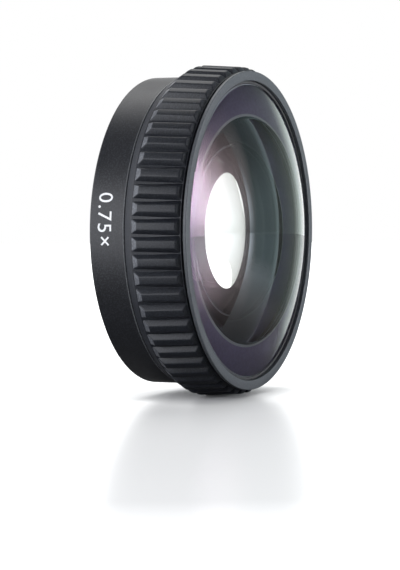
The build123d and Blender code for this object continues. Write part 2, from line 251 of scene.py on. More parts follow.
class Nodes:
    """A node tree with one output. Its nodes are added by one method."""

    def __init__(self, owner, output):
        owner.use_nodes = True
        self.owner = owner
        self.tree = owner.node_tree
        self.tree.nodes.clear()
        self.output = self.tree.nodes.new(output)

    def node(self, kind, inputs=None, output=0, stops=None, **settings):
        """Adds a node: its settings first, then the values or links of its sockets."""
        node = self.tree.nodes.new(kind)
        for key, value in settings.items():
            setattr(node, key, value)
        if stops:
            ramp = node.color_ramp.elements
            while len(ramp) < len(stops):
                ramp.new(0.5)
            for element, (place, level) in zip(ramp, stops):
                element.position = place
                color = level if isinstance(level, tuple) else (level, level, level)
                element.color = (*color, 1.0)
        for key, value in (inputs or {}).items():
            self.put(node.inputs[key], value)
        return Value(self, node.outputs[output])

    def put(self, socket, value):
        """Links a value to a socket, or sets the socket's own number or colour."""
        if isinstance(value, Value):
            self.tree.links.new(value.socket, socket)
        elif isinstance(value, tuple) and socket.type == "RGBA":
            socket.default_value = (*value, 1.0)
        else:
            socket.default_value = value

    def noise(self, size, detail=2.0, roughness=0.5):
        """Noise whose features are about that many millimetres across."""
        place = self.node("ShaderNodeTexCoord", output="Object")
        inputs = {"Vector": place, "Scale": 1.0 / (size * MM), "Detail": detail, "Roughness": roughness}
        return self.node("ShaderNodeTexNoise", inputs)

    def ramp(self, factor, *stops):
        """A level or colour that follows a factor through (place, level or colour) stops."""
        return self.node("ShaderNodeValToRGB", {"Fac": factor}, stops=stops)

    def mix(self, factor, first, second):
        """A colour between two colours."""
        return self.node("ShaderNodeMix", {0: factor, 6: first, 7: second}, output=2, data_type="RGBA")

    def bump(self, height, distance):
        """A normal that follows a height whose full range is that many millimetres."""
        return self.node("ShaderNodeBump", {"Height": height, "Distance": distance * MM})

    def light_path(self, kind):
        """What kind of ray looks, such as Is Camera Ray."""
        return self.node("ShaderNodeLightPath", output=kind)

    def looked_at(self):
        """1 for what the camera sees, directly or straight through the glass, and 0 otherwise."""
        through = self.light_path("Is Transmission Ray") * (self.light_path("Glossy Depth") < 0.5)
        seen = self.light_path("Is Camera Ray")
        return self.node("ShaderNodeMath", {0: seen, 1: through}, operation="MAXIMUM")

    def principled(self, **sockets):
        """A Principled shader. Socket names are written with underscores."""
        inputs = {key.replace("_", " "): value for key, value in sockets.items()}
        return self.node("ShaderNodeBsdfPrincipled", inputs)

    def show(self, shader):
        """Makes a shader the surface, and gives back what owns the tree."""
        self.tree.links.new(shader.socket, self.output.inputs["Surface"])
        return self.owner


def new_material(name):
    """The empty node tree of a new material."""
    return Nodes(bpy.data.materials.new(name), "ShaderNodeOutputMaterial")


def paint(piece, *materials):
    """Gives a piece its material slots."""
    piece.data.materials.clear()
    for material in materials:
        piece.data.materials.append(material)


def begin(piece):
    """Makes a piece the only one selected, and the active one."""
    bpy.ops.object.select_all(action="DESELECT")
    piece.select_set(True)
    bpy.context.view_layer.objects.active = piece


def edit(piece):
    """Enters a piece's edit mode with all of it selected."""
    begin(piece)
    bpy.ops.object.mode_set(mode="EDIT")
    bpy.ops.mesh.select_mode(type="VERT")
    bpy.ops.mesh.select_all(action="SELECT")


def done():
    """Leaves edit mode."""
    bpy.ops.object.mode_set(mode="OBJECT")


def pick(piece, test):
    """In edit mode, selects the vertices whose place in millimetres passes a test."""
    done()
    for element in [*piece.data.polygons, *piece.data.edges]:
        element.select = False
    for vertex in piece.data.vertices:
        vertex.select = test(vertex.co / MM)
    bpy.ops.object.mode_set(mode="EDIT")


def pick_edges(piece, test):
    """In edit mode, selects the edges whose two ends in millimetres pass a test."""
    done()
    vertices = piece.data.vertices
    for element in [*piece.data.polygons, *vertices]:
        element.select = False
    for edge in piece.data.edges:
        edge.select = test(*(vertices[end].co / MM for end in edge.vertices))
    bpy.ops.object.mode_set(mode="EDIT")
    bpy.ops.mesh.select_mode(type="EDGE")


def shift(x=0.0, y=0.0, z=0.0):
    """In edit mode, moves what is selected by millimetres."""
    bpy.ops.transform.translate(value=(x * MM, y * MM, z * MM))


def turn_copies(count, angle):
    """In edit mode, adds copies of what is selected, each turned on by an angle about the Y axis."""
    for _ in range(count):
        bpy.ops.mesh.duplicate()
        bpy.ops.transform.rotate(value=radians(angle), orient_axis="Y", center_override=(0, 0, 0))


def apply_modifier(piece, kind, **settings):
    """Adds a modifier to a piece and applies it."""
    begin(piece)
    modifier = piece.modifiers.new(kind.lower(), kind)
    for key, value in settings.items():
        setattr(modifier, key, value)
    bpy.ops.object.modifier_apply(modifier=modifier.name)


def finish_mesh(piece, angle=25.0, flat_faces=True):
    """Merges doubles, turns faces outwards and shades a piece smooth up to an angle.

    With flat_faces, flat faces stay evenly lit up to their rounded edges.
    """
    edit(piece)
    bpy.ops.mesh.remove_doubles(threshold=MERGE)
    bpy.ops.mesh.normals_make_consistent(inside=False)
    done()
    bpy.ops.object.shade_smooth_by_angle(angle=radians(angle))
    if flat_faces:
        apply_modifier(piece, "WEIGHTED_NORMAL", weight=100, keep_sharp=True)
    return piece


def join(first, *others):
    """Joins pieces into the first."""
    begin(first)
    for other in others:
        other.select_set(True)
    bpy.ops.object.join()
    return first


def cut(piece, cutter):
    """Cuts a piece with another, which is then removed."""
    apply_modifier(piece, "BOOLEAN", operation="DIFFERENCE", object=cutter, solver="EXACT")
    bpy.data.objects.remove(cutter)


def sag(curve, height):
    """Depth of a spherical surface between its apex and a height off the axis."""
    return curve - sqrt(curve * curve - height * height)


def dome(curve, edge_station, edge_radius, bevel=0.0):
    """Corners of a forward-bulging arc, from the axis out to its edge or the bevel on it."""
    apex = edge_station + sag(curve, edge_radius)
    whole = asin((edge_radius - bevel) / curve)
    angles = [whole * step / ARC_STEPS for step in range(ARC_STEPS + 1)]
    return [(apex - curve * (1 - cos(angle)), curve * sin(angle)) for angle in angles]


def eased(corners):
    """Corners with their third number, a rounding radius, turned into short arcs."""
    line = []
    for index, corner in enumerate(corners):
        here = Vector(corner[:2])
        if len(corner) == 2:
            line.append(tuple(here))
            continue
        to_last = (Vector(corners[index - 1][:2]) - here).normalized()
        to_next = (Vector(corners[(index + 1) % len(corners)][:2]) - here).normalized()
        half = to_last.angle(to_next) / 2
        centre = here + (to_last + to_next).normalized() * (corner[2] / sin(half))
        first = here + to_last * (corner[2] / tan(half)) - centre
        last = here + to_next * (corner[2] / tan(half)) - centre
        swing = atan2(first.x * last.y - first.y * last.x, first.dot(last))
        for step in range(ROUNDING_STEPS + 1):
            line.append(tuple(centre + Matrix.Rotation(swing * step / ROUNDING_STEPS, 2) @ first))
    return line


def point(station, radius, angle=0.0):
    """The place, in metres, at a station, radius and angle counted from +X towards +Z."""
    return Vector((radius * cos(radians(angle)), -station, radius * sin(radians(angle)))) * MM


def turned(name, corners, closed=True, start=0.0, span=360.0, steps=SPIN_STEPS):
    """A turned piece: its half section is drawn by extruding a point, then spun round the axis.

    Corners are (station, radius) or (station, radius, rounding). An open section starts and ends
    on the axis. A span under a full turn gives a closed piece of a ring.
    """
    line = eased(corners)
    if closed:
        line.append(line[0])
    bpy.ops.object.select_all(action="DESELECT")
    bpy.ops.mesh.primitive_plane_add(size=MM)
    piece = bpy.context.object
    piece.name = name
    edit(piece)
    bpy.ops.mesh.merge(type="CENTER")
    bpy.ops.transform.translate(value=point(line[0][0], line[0][1], start))
    for last, here in zip(line, line[1:]):
        step = point(here[0] - last[0], here[1] - last[1], start)
        bpy.ops.mesh.extrude_region_move(TRANSFORM_OT_translate={"value": step})
    bpy.ops.mesh.select_all(action="SELECT")
    bpy.ops.mesh.remove_doubles(threshold=MERGE)
    bpy.ops.mesh.spin(steps=steps, angle=radians(span), center=(0, 0, 0), axis=(0, 1, 0))
    bpy.ops.mesh.select_all(action="SELECT")
    bpy.ops.mesh.remove_doubles(threshold=MERGE)
    if span < 360.0:
        bpy.ops.mesh.fill_holes(sides=0)
    done()
    return finish_mesh(piece)


def facing(piece, slot, test):
    """Gives a material slot to the faces whose station, radius and normal pass a test."""
    for polygon in piece.data.polygons:
        centre = polygon.center / MM
        if test(-centre.y, sqrt(centre.x**2 + centre.z**2), polygon.normal):
            polygon.material_index = slot


def settle(piece, body, slot, *nodes):
    """Hands a finished piece to the frame: its body, its record slot, which is not used, and the nodes it
    stands for.
    """
    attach(piece, body)
    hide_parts(*nodes)


def rod(name, radius, low, high, place, sides=48, top=None):
    """A rod or cone between two lengths along the Z of a place matrix."""
    bpy.ops.object.select_all(action="DESELECT")
    top = radius if top is None else top
    bpy.ops.mesh.primitive_cone_add(
        vertices=sides, radius1=radius * MM, radius2=top * MM, depth=(high - low) * MM
    )
    piece = bpy.context.object
    piece.name = name
    piece.data.transform(place @ Matrix.Translation((0, 0, (low + high) / 2 * MM)))
    return piece


def forwards(radius, angle):
    """A place matrix whose Z runs forwards, parallel to the axis."""
    return Matrix.Translation(point(0, radius, angle)) @ Matrix.Rotation(pi / 2, 4, "X")


def outwards(station, angle):
    """A place matrix whose Z runs outwards from the axis."""
    turn = Matrix.Rotation(radians(-angle), 4, "Y") @ Matrix.Rotation(pi / 2, 4, "Y")
    return Matrix.Translation(point(station, 0)) @ turn


# Finishes


def anodised(name, dark, light, grain, roughness, grain_depth=0.008):
    """Anodised aluminium: a fine speckle of lighter grains over a soft uneven tone."""
    nodes = new_material(name)
    speckle = nodes.noise(grain, detail=3.0, roughness=0.65)
    cloud = nodes.noise(6.0, detail=3.0)
    flecks = nodes.ramp(speckle, (0.46, 0.0), (0.66, 1.0))
    return nodes.show(
        nodes.principled(
            Base_Color=nodes.mix(flecks * 0.8 + cloud * 0.3, dark, light),
            IOR=1.42,
            Roughness=cloud * 0.12 + speckle * 0.12 + (roughness - 0.12),
            Normal=nodes.bump(speckle, grain_depth),
        )
    )


def matte(name, color, roughness=0.7, grain=0.3):
    """A matte surface with a fine uneven tone."""
    nodes = new_material(name)
    tone = nodes.noise(grain, detail=3.0)
    light = tuple(min(1.0, level * 1.6 + 0.003) for level in color)
    return nodes.show(
        nodes.principled(
            Base_Color=nodes.mix(tone, color, light),
            Roughness=tone * 0.2 + (roughness - 0.1),
            Normal=nodes.bump(tone, 0.004),
        )
    )


def ringed(name, color, line, *stations):
    """A matte paint with fine lighter lines round the axis at some stations, painted highlights."""
    nodes = new_material(name)
    place = nodes.node("ShaderNodeTexCoord", output="Object")
    along = nodes.node("ShaderNodeSeparateXYZ", {0: place}, output="Y")
    painted_highlight_lines = 0.0
    for station in stations:
        reach = nodes.node("ShaderNodeMath", {0: along + station * MM}, operation="ABSOLUTE")
        painted_highlight_lines = painted_highlight_lines + (reach < EDGE_LINE_HALF * MM)
    return nodes.show(nodes.principled(Base_Color=nodes.mix(painted_highlight_lines, color, line), Roughness=0.6))


def coated_glass(name, ior, tint, echo, coating=(1.0, 1.0, 1.0), film=0.0, onset=0.98):
    """Clear glass under a coating, with a film in nanometres where its colour changes with angle.

    Where plain glass would reflect a larger share than the onset, it is a mirror of the echo colour.
    """
    nodes = new_material(name)
    glass = nodes.principled(
        Base_Color=tint,
        Roughness=0.0,
        IOR=ior,
        Transmission_Weight=1.0,
        Specular_Tint=coating,
        Thin_Film_Thickness=film,
        Thin_Film_IOR=1.45,
    )
    mirror = nodes.principled(Base_Color=echo, Metallic=1.0, Roughness=0.0)
    past_onset = nodes.node("ShaderNodeFresnel", {"IOR": ior}) > onset
    return nodes.show(nodes.node("ShaderNodeMixShader", {0: past_onset, 1: glass, 2: mirror}))


barrel_finish = anodised("satin_black_anodised", (0.004, 0.004, 0.006), (0.026, 0.028, 0.033), 0.2, 0.42)
grip_finish = anodised("matte_black_anodised", (0.004, 0.005, 0.008), (0.024, 0.027, 0.035), 0.18, 0.48)
bezel_finish = anodised("blue_grey_anodised", (0.06, 0.065, 0.072), (0.1, 0.107, 0.116), 0.2, 0.45)
# A lighter copy of the grip's finish: a painted highlight for the ribs' rear-facing ends
rib_end_painted_highlight = anodised("rib_end_highlight_paint", (0.045, 0.048, 0.056), (0.15, 0.157, 0.173), 0.3, 0.4)
bright_edge = anodised("lighter_band_edge", (0.1, 0.105, 0.11), (0.2, 0.21, 0.22), 0.2, 0.35)
flange_finish = anodised("fine_black_anodised", (0.007, 0.007, 0.008), (0.022, 0.022, 0.026), 0.15, 0.4)
cell_finish = matte("light_trap_black", (0.004, 0.004, 0.005), 0.85)
rubber_finish = matte("seal_rubber", (0.016, 0.016, 0.017), 0.6, 0.2)
film_finish = matte("black_film", (0.008, 0.008, 0.009), 0.65)
washer_finish = matte("slippery_plastic", (0.5, 0.49, 0.45), 0.4)
lock_finish = matte("blackened_brass", (0.022, 0.02, 0.018), 0.45)
steel_finish = matte("black_oxide_steel", (0.03, 0.03, 0.033), 0.35, 0.1)
spring_finish = matte("polished_steel", (0.5, 0.5, 0.52), 0.25, 0.1)
dome_glass = coated_glass("dome_glass", 1.70, (0.97, 1.0, 0.99), (0.85, 0.9, 0.9), film=101.0)
bowl_glass = coated_glass(
    "bowl_glass", 1.70, (1.0, 1.0, 1.0), (0.8, 0.85, 0.9), (0.15, 0.15, 0.24), onset=0.14
)
second_glass = coated_glass("second_glass", 1.60, (0.98, 1.0, 0.99), (0.05, 0.09, 0.07), (0.06, 0.12, 0.08))
rear_glass = coated_glass("rear_glass", 1.60, (0.98, 1.0, 0.99), (0.05, 0.09, 0.07), (0.15, 0.15, 0.25))
# The land is blackened, but its colour is lighter and purple: a painted reflection of the coating over the
# black
land_black_and_painted_reflection = matte("blackened_land_and_painted_reflection", (0.106, 0.088, 0.148), 0.6, 0.4)
# Blackened lens edges, with two painted highlight lines round the front element's edge at EDGE_LINES
edge_paint = ringed("blackened_edge", (0.006, 0.007, 0.009), (0.3, 0.34, 0.36), *EDGE_LINES)
ground_bevel = matte("ground_bevel", (0.19, 0.2, 0.22), 0.5, 0.1)
print_white = matte("printed_white", (0.9, 0.9, 0.9), 0.5, 0.1)

# Barrel: a smooth band with a bearing sleeve and a nose, the three slots of the drive screws, the
# hole of the detent ball under the pocket of its leaf, and the bores of the flange screws

barrel = turned(
    "barrel_shell",
    [
        (0, FLANGE_RADIUS + SEAT_GAP, 0.03),
        (0, BARREL_RADIUS, 0.3),
        (BAND_FRONT, BARREL_RADIUS, 0.16),
        (BAND_FRONT, SLEEVE_RADIUS),
        (SKIRT_STATION, SLEEVE_RADIUS),
        (SKIRT_STATION, NOSE_RADIUS),
        (NOSE_STATION, NOSE_RADIUS),
        (NOSE_STATION, CELL_RADIUS + SEAT_GAP),
        (WEB_STATION, CELL_RADIUS + SEAT_GAP),
        (WEB_STATION, CAVITY_RADIUS),
        (FLANGE_THICKNESS, CAVITY_RADIUS),
        (FLANGE_THICKNESS, FLANGE_RADIUS + SEAT_GAP),
    ],
)


def sleeve_cutter(name, half_width, inner, start, span, steps):
    """A cutter round part of the sleeve, from a radius inside it out through its surface."""
    rear, front, outer = DRIVE_STATION - half_width, DRIVE_STATION + half_width, SLEEVE_RADIUS + OVERSHOOT
    section = [(rear, inner), (rear, outer), (front, outer), (front, inner)]
    return turned(name, section, start=start, span=span, steps=steps)


def sleeve_drill(name, radius, angle, sides):
    """A round cutter that goes outwards through the whole sleeve at an angle."""
    place = outwards(DRIVE_STATION, angle)
    return rod(name, radius, CAVITY_RADIUS - OVERSHOOT, SLEEVE_RADIUS + OVERSHOOT, place, sides=sides)


for angle in DRIVE_ANGLES:
    start = angle - LOCK_TRAVEL
    cut(barrel, sleeve_cutter("slot_cut", SLOT_HALF, CAVITY_RADIUS - OVERSHOOT, start, LOCK_TRAVEL, 24))
    for end in (start, angle):
        cut(barrel, sleeve_drill("slot_end", SLOT_HALF, end, 24))
cut(barrel, sleeve_drill("ball_hole", DETENT_BALL + SEAT_GAP, DETENT_ANGLE, 32))
start = DETENT_ANGLE - LEAF_SLOT_ANGLE / 2
cut(barrel, sleeve_cutter("leaf_pocket", LEAF_SLOT_HALF, LEAF_INNER - SEAT_GAP, start, LEAF_SLOT_ANGLE, 51))
for angle in FLANGE_SCREW_ANGLES:
    place = forwards(FLANGE_SCREW_CIRCLE, angle)
    low, high = FLANGE_THICKNESS - OVERSHOOT, FLANGE_SCREW_LENGTH + OVERSHOOT
    cut(barrel, rod("screw_bore", SCREW_HOLE_RADIUS, low, high, place, sides=32))
# A narrow strip at the band's front edge takes a lighter finish
paint(barrel, barrel_finish, bright_edge)
facing(
    barrel,
    1,
    lambda station, radius, normal: BAND_FRONT - BRIGHT_EDGE_WIDTH < station < BAND_FRONT
    and radius > BARREL_RADIUS - MARGIN,
)
settle(barrel, "barrel", "barrel_metal", "main_barrel")

# Grip ring: a turned core with a conical collar, and 60 ribs

grip = turned(
    "grip_ring_ribbed",
    [
        (GRIP_REAR, GRIP_BORE, 0.05),
        (GRIP_REAR, BARREL_RADIUS, 0.1),
        (COLLAR_FRONT, ROOT_REAR, 0.3),
        (GRIP_FRONT, ROOT_FRONT, 0.1),
        (GRIP_FRONT, GRIP_CUP, 0.05),
        (GRIP_SHOULDER, GRIP_CUP),
        (GRIP_SHOULDER, GRIP_BORE),
    ],
)


def grip_rib():
    """One rib at angle 0: a box with tapered flanks and chamfered ends, its edges softened."""
    foot, crest = ROOT_FRONT - RIB_ROOT, ROOT_REAR + RIB_HEIGHT
    slope = RIB_REAR_CHAMFER / RIB_HEIGHT
    rear, front = COLLAR_FRONT + RIB_SETBACK - slope * (ROOT_REAR - foot), GRIP_FRONT
    middle, halfway = (foot + crest) / 2, -(rear + front) / 2
    foot_width = RIB_CREST_WIDTH + 2 * RIB_FLANK_WIDTH * (crest - foot) / RIB_HEIGHT
    bpy.ops.object.select_all(action="DESELECT")
    bpy.ops.mesh.primitive_cube_add(size=MM)
    rib = bpy.context.object
    rib.name = "grip_rib"
    edit(rib)
    bpy.ops.transform.resize(value=(crest - foot, front - rear, foot_width))
    shift(x=middle, y=halfway)
    pick(rib, lambda place: place.x > middle)
    bpy.ops.transform.resize(value=(1, 1, RIB_CREST_WIDTH / foot_width))
    pick(rib, lambda place: place.x > middle and place.y > halfway)
    shift(y=-slope * (crest - foot))
    pick(rib, lambda place: place.x > middle and place.y < halfway)
    shift(x=ROOT_FRONT - ROOT_REAR, y=RIB_FRONT_CHAMFER)
    pick_edges(rib, lambda one, other: one.x > middle or other.x > middle)
    bpy.ops.mesh.bevel(offset=RIB_SOFTENING * MM, segments=3, affect="EDGES")
    done()
    rib.data.transform(Matrix.Rotation(radians(180 / RIB_COUNT), 4, "Y"))
    return rib


rib = grip_rib()
edit(rib)
turn_copies(RIB_COUNT - 1, 360 / RIB_COUNT)
done()
finish_mesh(rib, angle=75.0, flat_faces=False)
join(grip, rib)
# The rib ends' faces that look towards the back of the lens take the lighter copy: a painted highlight
paint(grip, grip_finish, rib_end_painted_highlight)
facing(
    grip,
    1,
    lambda station, radius, normal: normal.y > HIGHLIGHT_SLOPE
    and radius > ROOT_REAR - MARGIN
    and station > COLLAR_FRONT + MARGIN,
)
settle(grip, "grip", "grip_metal", "grip_ring")

# Bezel, seal and light shield

bezel = turned(
    "bezel_ring",
    [
        (SKIRT_STATION, NOSE_RADIUS + SEAT_GAP),
        (SKIRT_STATION, SKIRT_RADIUS),
        (BEZEL_UNDERSIDE, SKIRT_RADIUS),
        (BEZEL_UNDERSIDE, BEZEL_RADIUS, 0.08),
        (BEZEL_FACE, BEZEL_RADIUS, 0.1),
        (BEZEL_FACE, BEZEL_OPENING, 0.08),
        (SHIELD_STATION, BEZEL_OPENING),
        (SHIELD_STATION, SEAT_OPENING),
        (SEAT_STATION, SEAT_OPENING),
        (SEAT_STATION, NOSE_RADIUS + SEAT_GAP),
    ],
)
paint(bezel, bezel_finish)
settle(bezel, "barrel", "bezel_metal", "front_bezel")

seal = turned(
    "front_seal_ring",
    [
        (SHIELD_STATION, GLASS_RADIUS + SEAT_GAP),
        (SHIELD_STATION, BEZEL_OPENING - SEAT_GAP),
        (SEAL_FRONT, BEZEL_OPENING - SEAT_GAP, 0.1),
        (SEAL_FRONT, GLASS_RADIUS + SEAT_GAP, 0.1),
    ],
)
paint(seal, rubber_finish)
settle(seal, "barrel", "seal_rubber", "front_seal")

shield = turned(
    "front_shield_ring",
    [
        (SHIELD_STATION, BOWL_RADIUS),
        (SHIELD_STATION, GLASS_RADIUS - SHIELD_MARGIN),
        (LAND_STATION - SHIELD_GAP, GLASS_RADIUS - SHIELD_MARGIN),
        (LAND_STATION - SHIELD_GAP, BOWL_RADIUS),
    ],
)
paint(shield, film_finish)
settle(shield, "barrel", "shield_film", "front_shield")

# Optical elements, from the front

front = turned(
    "front_glass_meniscus",
    [
        *dome(BOWL_CURVE, LAND_STATION, BOWL_RADIUS, BOWL_BEVEL),
        (LAND_STATION, BOWL_RADIUS + BOWL_BEVEL),
        (LAND_STATION, GLASS_RADIUS),
        (GLASS_RIM - GLASS_BEVEL, GLASS_RADIUS),
        *reversed(dome(FRONT_CURVE, GLASS_RIM, GLASS_RADIUS, GLASS_BEVEL)),
    ],
    closed=False,
)
paint(front, dome_glass, land_black_and_painted_reflection, edge_paint, ground_bevel, bowl_glass)
facing(front, 1, lambda station, radius, normal: normal.y > FACES_AXIS and radius > BOWL_RADIUS)
facing(front, 2, lambda station, radius, normal: abs(normal.y) < ALONG_AXIS)
facing(
    front,
    3,
    lambda station, radius, normal: abs(radius - BOWL_RADIUS) < BOWL_BEVEL
    and station < LAND_STATION + BOWL_BEVEL
    or station > GLASS_RIM - GLASS_BEVEL
    and radius > GLASS_RADIUS - GLASS_BEVEL,
)
facing(
    front,
    4,
    lambda station, radius, normal: normal.y > 0 and radius < BOWL_RADIUS and station > LAND_STATION + MARGIN,
)
settle(front, "barrel", "front_glass", "front_element")

second = turned(
    "second_glass_meniscus",
    [
        *dome(SECOND_BOWL_CURVE, SECOND_LAND, SECOND_BOWL, SECOND_BEVEL),
        (SECOND_LAND, SECOND_BOWL + SECOND_BEVEL),
        (SECOND_LAND, SECOND_RADIUS),
        (SECOND_RIM, SECOND_RADIUS),
        (SECOND_RIM, SECOND_CLEAR),
        *reversed(dome(SECOND_CURVE, SECOND_RIM, SECOND_CLEAR)[:-1]),
    ],
    closed=False,
)
paint(second, second_glass, edge_paint, ground_bevel)
facing(
    second,
    1,
    lambda station, radius, normal: abs(normal.y) < ALONG_AXIS
    or radius > SECOND_BOWL
    and station < SECOND_LAND + FINE_MARGIN,
)
facing(
    second,
    2,
    lambda station, radius, normal: abs(radius - SECOND_BOWL) < SECOND_BEVEL
    and station < SECOND_LAND + SECOND_BEVEL,
)
settle(second, "barrel", "inner_glass", "second_element")

rear_group = turned(
    "rear_glass_pair",
    [
        (REAR_GROUP_REAR, 0),
        (REAR_GROUP_REAR, REAR_GROUP_RADIUS - REAR_GROUP_BEVEL),
        (REAR_GROUP_REAR + REAR_GROUP_BEVEL, REAR_GROUP_RADIUS),
        (REAR_GROUP_FRONT, REAR_GROUP_RADIUS),
        (REAR_GROUP_FRONT, REAR_CLEAR),
        *reversed(dome(REAR_CURVE, REAR_GROUP_FRONT, REAR_CLEAR)[:-1]),
    ],
    closed=False,
)
paint(rear_group, rear_glass, edge_paint)
facing(
    rear_group,
    1,
    lambda station, radius, normal: radius > REAR_GROUP_RADIUS - REAR_GROUP_BEVEL - FINE_MARGIN
    and abs(normal.y) < NOT_ACROSS_AXIS,
)
settle(rear_group, "barrel", "inner_glass", "third_element", "fourth_element")

# Cell and retaining rings

cell = turned(
    "lens_cell_body",
    [
        (CELL_REAR, REAR_GROUP_RADIUS + SEAT_GAP, 0.05),
        (CELL_REAR, CELL_RADIUS - CELL_CHAMFER),
        (CELL_REAR + CELL_CHAMFER, CELL_RADIUS),
        (NOSE_STATION, CELL_RADIUS),
        (NOSE_STATION, NOSE_RADIUS - CELL_COLLAR_SETBACK),
        (SEAT_STATION, NOSE_RADIUS - CELL_COLLAR_SETBACK),
        (SEAT_STATION, CELL_RADIUS),
        (COLLAR_END, CELL_RADIUS),
        (COLLAR_END, SECOND_RADIUS + SEAT_GAP),
        (SECOND_LAND, SECOND_RADIUS + SEAT_GAP),
        (SECOND_LAND, STOP_RADIUS),
        (REAR_GROUP_FRONT, REAR_CLEAR),
        (REAR_GROUP_FRONT, REAR_GROUP_RADIUS + SEAT_GAP),
    ],
)
paint(cell, cell_finish)
settle(cell, "barrel", "cell_metal", "lens_cell")

second_ring = turned(
    "second_retainer",
    [
        (SECOND_RIM, SECOND_CLEAR),
        (SECOND_RIM, SECOND_RADIUS),
        (COLLAR_END, SECOND_RADIUS),
        (COLLAR_END, SECOND_CLEAR + SECOND_RING_FLARE),
    ],
)
paint(second_ring, cell_finish)
settle(second_ring, "barrel", "cell_metal", "second_retaining_ring")

rear_ring = turned(
    "rear_retainer",
    [
        (CELL_REAR, REAR_RING_BORE + REAR_RING_FLARE, 0.04),
        (CELL_REAR, REAR_GROUP_RADIUS, 0.04),
        (REAR_GROUP_REAR, REAR_GROUP_RADIUS),
        (REAR_GROUP_REAR, REAR_RING_BORE),
    ],
)
for angle in SPANNER_ANGLES:
    place = forwards(SPANNER_CIRCLE, angle)
    low, high = CELL_REAR - OVERSHOOT, CELL_REAR + SPANNER_DEPTH
    cut(rear_ring, rod("spanner_hole", SPANNER_RADIUS, low, high, place, sides=24))
paint(rear_ring, cell_finish)
settle(rear_ring, "barrel", "cell_metal", "rear_retaining_ring")

# Mount flange with its gasket and screws

flange = turned(
    "mount_plate",
    [
        (0, REGISTER_RADIUS),
        (0, GASKET_INNER),
        (GASKET_DEPTH, GASKET_INNER),
        (GASKET_DEPTH, GASKET_OUTER),
        (0, GASKET_OUTER),
        (0, FLANGE_RADIUS, 0.05),
        (FLANGE_THICKNESS, FLANGE_RADIUS),
        (FLANGE_THICKNESS, REGISTER_RADIUS),
    ],
)
for angle in FLANGE_SCREW_ANGLES:
    place = forwards(FLANGE_SCREW_CIRCLE, angle)
    high = FLANGE_THICKNESS + OVERSHOOT
    cut(flange, rod("screw_hole", SCREW_HOLE_RADIUS, -OVERSHOOT, high, place, sides=32))
    sink = rod("countersink", COUNTERSINK_RADIUS, -OVERSHOOT, SCREW_HEAD_DEPTH, place, top=SCREW_HOLE_RADIUS)
    cut(flange, sink)
cut(flange, rod("index_hole", INDEX_RADIUS, -OVERSHOOT, INDEX_DEPTH, forwards(INDEX_CIRCLE, INDEX_ANGLE)))
paint(flange, flange_finish)
settle(flange, "barrel", "flange_metal", "mount_flange")

gasket = turned(
    "rear_seal_ring",
    [
        (0, GASKET_INNER + SEAT_GAP, 0.08),
        (0, GASKET_OUTER - SEAT_GAP, 0.08),
        (GASKET_DEPTH, GASKET_OUTER - SEAT_GAP),
        (GASKET_DEPTH, GASKET_INNER + SEAT_GAP),
    ],
)
paint(gasket, rubber_finish)
settle(gasket, "barrel", "seal_rubber", "rear_gasket")


def flange_screw(angle):
    """One countersunk screw with a hexagonal recess."""
    place = forwards(FLANGE_SCREW_CIRCLE, angle)
    screw = rod("flange_screw", SCREW_HEAD_RADIUS, 0.0, SCREW_HEAD_DEPTH, place, top=FLANGE_SCREW_RADIUS)
    neck = SCREW_HEAD_DEPTH - SCREW_HEAD_OVERLAP
    join(screw, rod("screw_shank", FLANGE_SCREW_RADIUS, neck, FLANGE_SCREW_LENGTH, place, sides=32))
    cut(screw, rod("hex_recess", HEX_RADIUS, -OVERSHOOT, HEX_DEPTH, place, sides=6))
    return screw


screws = join(*[flange_screw(angle) for angle in FLANGE_SCREW_ANGLES])
screws.name = "flange_screw_set"
bpy.ops.object.shade_smooth_by_angle(angle=radians(35))
paint(screws, steel_finish)
settle(screws, "barrel", "fastener_steel", "flange_screws")

# Lock ring: four inward lugs, and round its outside the detent's groove with a pocket at each end


def detent_groove(reach, steps=12):
    """Corners of the round groove in which the detent ball rides, from its rear to its front edge."""
    edge = acos((DETENT_CENTRE - LOCK_RADIUS) / reach)
    angles = [edge * (2 * step / steps - 1) for step in range(steps + 1)]
    return [(DRIVE_STATION + reach * sin(angle), DETENT_CENTRE - reach * cos(angle)) for angle in angles]


lock = turned(
    "lock_ring_lugged",
    [
        (LOCK_REAR, LOCK_BORE, 0.08),
        (LOCK_REAR, LOCK_RADIUS, 0.08),
        *detent_groove(DETENT_BALL + SEAT_GAP),
        (LOCK_FRONT, LOCK_RADIUS),
        (LOCK_FRONT, LOCK_BORE),
    ],
)
for angle in (DETENT_ANGLE, DETENT_ANGLE + LOCK_TRAVEL):
    bpy.ops.object.select_all(action="DESELECT")
    bpy.ops.mesh.primitive_uv_sphere_add(segments=32, ring_count=16, radius=(DETENT_BALL + SEAT_GAP) * MM)
    pocket = bpy.context.object
    pocket.data.transform(Matrix.Translation(point(DRIVE_STATION, DETENT_CENTRE - POCKET_DEPTH, angle)))
    cut(lock, pocket)
for angle in DRIVE_ANGLES:
    place = outwards(DRIVE_STATION, angle)
    low, high = LOCK_BORE - DRIVE_CUT_REACH, LOCK_RADIUS + DRIVE_CUT_REACH
    cut(lock, rod("drive_hole", DRIVE_HOLE_RADIUS, low, high, place, sides=32))
lugs = [
    turned(
        "lock_lug",
        [
            (LOCK_REAR, LUG_RADIUS, 0.12),
            (LOCK_REAR, LOCK_BORE + LUG_OVERLAP),
            (LOCK_REAR + LUG_THICKNESS, LOCK_BORE + LUG_OVERLAP),
            (LOCK_REAR + LUG_THICKNESS, LUG_RADIUS, 0.12),
        ],
        start=angle - LUG_ANGLE / 2,
        span=LUG_ANGLE,
        steps=40,
    )
    for angle in LUG_ANGLES
]
join(lock, *lugs)
paint(lock, lock_finish)
settle(lock, "grip", "lock_metal", "lock_ring")

# Hidden pieces keep the model's own meshes

for node, finish in {
    "detent_ball": spring_finish,
    "detent_leaf": spring_finish,
    "drive_screws": steel_finish,
    "glide_washer": washer_finish,
}.items():
    paint(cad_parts[node], finish)

# Printed number on the barrel


